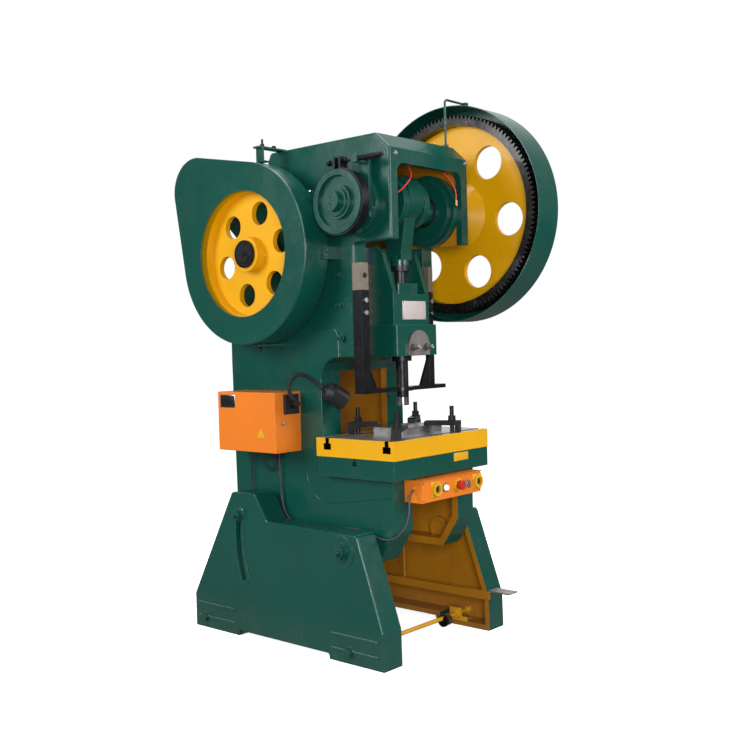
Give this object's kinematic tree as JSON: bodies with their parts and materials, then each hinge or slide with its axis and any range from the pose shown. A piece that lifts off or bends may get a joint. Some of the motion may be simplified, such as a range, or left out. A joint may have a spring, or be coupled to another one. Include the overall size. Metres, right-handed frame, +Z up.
{
  "type": "open-back inclinable mechanical power press",
  "caption": "Floor-standing stamping press: inclinable C-frame on channel legs, belt-driven flywheel, geared crankshaft, guided ram, bolster with clamps, control box and pedal.",
  "frame": {"origin": "centre of the four feet, on the floor", "axes": "+X to the operator's right, +Y away from the operator, +Z up"},
  "size_m": [0.834, 1.2709, 2.0484],
  "materials": {
    "black_oxide": "blackened steel",
    "black_plastic": "moulded",
    "black_rubber": "moulded",
    "brass": "turned",
    "cast_dark": "oiled dark iron",
    "green_paint": "glossy enamel over cast iron and plate",
    "green_plastic": "moulded",
    "machined_steel": "machined",
    "motor_grey": "enamel",
    "orange_box": "powder coat",
    "red_hose": "extruded tube",
    "red_plastic": "moulded",
    "yellow_paint": "glossy enamel"
  },
  "bodies": {
    "base": {"left_leg": "green_paint", "right_leg": "green_paint", "tie_rods": "yellow_paint", "pivot_pins": "black_oxide"},
    "frame": {"bearings": "cast_dark", "body_frame": "green_paint", "bolster": "yellow_paint", "box_hinges": "black_oxide", "brake_band": "black_oxide", "brake_post": "green_paint", "brake_rod": "black_oxide", "brake_spring": "black_oxide", "button_guards": "machined_steel", "cable_entries": "black_plastic", "clamp_bars": "black_oxide", "clamp_studs": "black_oxide", "control_box": "orange_box", "control_cable": "black_rubber", "die_block": "machined_steel", "drive_belts": "black_rubber", "electrical_box": "orange_box", "flywheel_guard": "green_paint", "gear_guard": "green_paint", "gear_guard_stay": "green_paint", "gibs": "cast_dark", "hose_fittings": "brass", "lamp_arm": "black_plastic", "lamp_head": "black_plastic", "left_hose": "red_hose", "left_housing": "green_paint", "loop_lead": "black_rubber", "motor": "motor_grey", "motor_bracket": "green_paint", "motor_lead": "black_rubber", "right_hose": "red_hose", "right_housing": "green_paint", "side_brackets": "green_paint", "stripper_frame": "black_oxide", "tilt_bolts": "black_oxide"},
    "crank": {"crankshaft": "cast_dark", "main_gear": "yellow_paint", "brake_disc": "green_paint"},
    "conrod": {"connecting_rod": "green_paint", "ball_screw": "black_oxide"},
    "slide_ram": {"ram": "green_paint", "ball_cap": "green_paint", "shank_clamp": "machined_steel", "punch": "black_oxide"},
    "drive": {"flywheel": "yellow_paint", "drive_shaft": "black_oxide", "pinion": "cast_dark"},
    "door": {"box_door": "orange_box"},
    "rotor": {"motor_pulley": "cast_dark"},
    "pedal": {"pedal_lever": "machined_steel"},
    "linkage": {"pull_rod": "machined_steel"},
    "run_left": {"left_button": "green_plastic"},
    "run_right": {"right_button": "green_plastic"},
    "stop": {"stop_button": "red_plastic"},
    "key": {"key_switch": "black_plastic"}
  },
  "joints": [
    {"name": "body_tilt", "type": "hinge", "parent": "base", "child": "frame", "pos_m": [0, -0.315, 0.393], "axis": [-1, 0, 0], "range_deg": [0, 15]},
    {"name": "crank_turn", "type": "hinge", "parent": "frame", "child": "crank", "pos_m": [0, -0.312, 1.617], "axis": [-1, 0, 0], "range_deg": [0, 180]},
    {"name": "rod_swing", "type": "hinge", "parent": "crank", "child": "conrod", "pos_m": [0, -0.312, 1.6495], "axis": [-1, 0, 0], "range_deg": [-181, 1]},
    {"name": "ram_slide", "type": "slide", "parent": "frame", "child": "slide_ram", "axis": [0, 0, 1], "range_m": [-0.0655, 0.0005]},
    {"name": "drive_spin", "type": "hinge", "parent": "frame", "child": "drive", "pos_m": [0, 0.1436, 1.4658], "axis": [-1, 0, 0], "range_deg": [-721, 1]},
    {"name": "motor_spin", "type": "hinge", "parent": "frame", "child": "rotor", "pos_m": [0, 0.405, 1.73], "axis": [-1, 0, 0], "range_deg": [-3200, 5]},
    {"name": "pedal_press", "type": "hinge", "parent": "base", "child": "pedal", "pos_m": [0, 0.15, 0.145], "axis": [1, 0, 0], "range_deg": [0, 8], "stiffness_Nm_per_rad": 120, "springref_deg": -11.46},
    {"name": "rod_pull", "type": "slide", "parent": "frame", "child": "linkage", "axis": [0, 0, -1], "range_m": [-0.0005, 0.0345]},
    {"name": "door_hinge", "type": "hinge", "parent": "frame", "child": "door", "pos_m": [-0.352, 0.319, 0.83], "axis": [0, 0, -1], "range_deg": [0, 105]},
    {"name": "run_left_press", "type": "slide", "parent": "frame", "child": "run_left", "axis": [0, 1, 0], "range_m": [0, 0.004], "stiffness_N_per_m": 600, "springref_m": -0.001},
    {"name": "run_right_press", "type": "slide", "parent": "frame", "child": "run_right", "axis": [0, 1, 0], "range_m": [0, 0.004], "stiffness_N_per_m": 600, "springref_m": -0.001},
    {"name": "stop_press", "type": "slide", "parent": "frame", "child": "stop", "axis": [0, 1, 0], "range_m": [0, 0.003], "stiffness_N_per_m": 600, "springref_m": -0.001},
    {"name": "key_turn", "type": "hinge", "parent": "frame", "child": "key", "pos_m": [0.082, -0.533, 0.596], "axis": [0, 1, 0], "range_deg": [0, 90]}
  ],
  "couplings": [
    {"joint": "rod_swing", "follows": "crank_turn", "ratio": -1},
    {"joint": "ram_slide", "follows": "crank_turn", "m_per_rad": -0.02069},
    {"joint": "drive_spin", "follows": "crank_turn", "ratio": -4},
    {"joint": "motor_spin", "follows": "crank_turn", "ratio": -17.742},
    {"joint": "rod_pull", "follows": "pedal_press", "m_per_rad": 0.242}
  ]
}
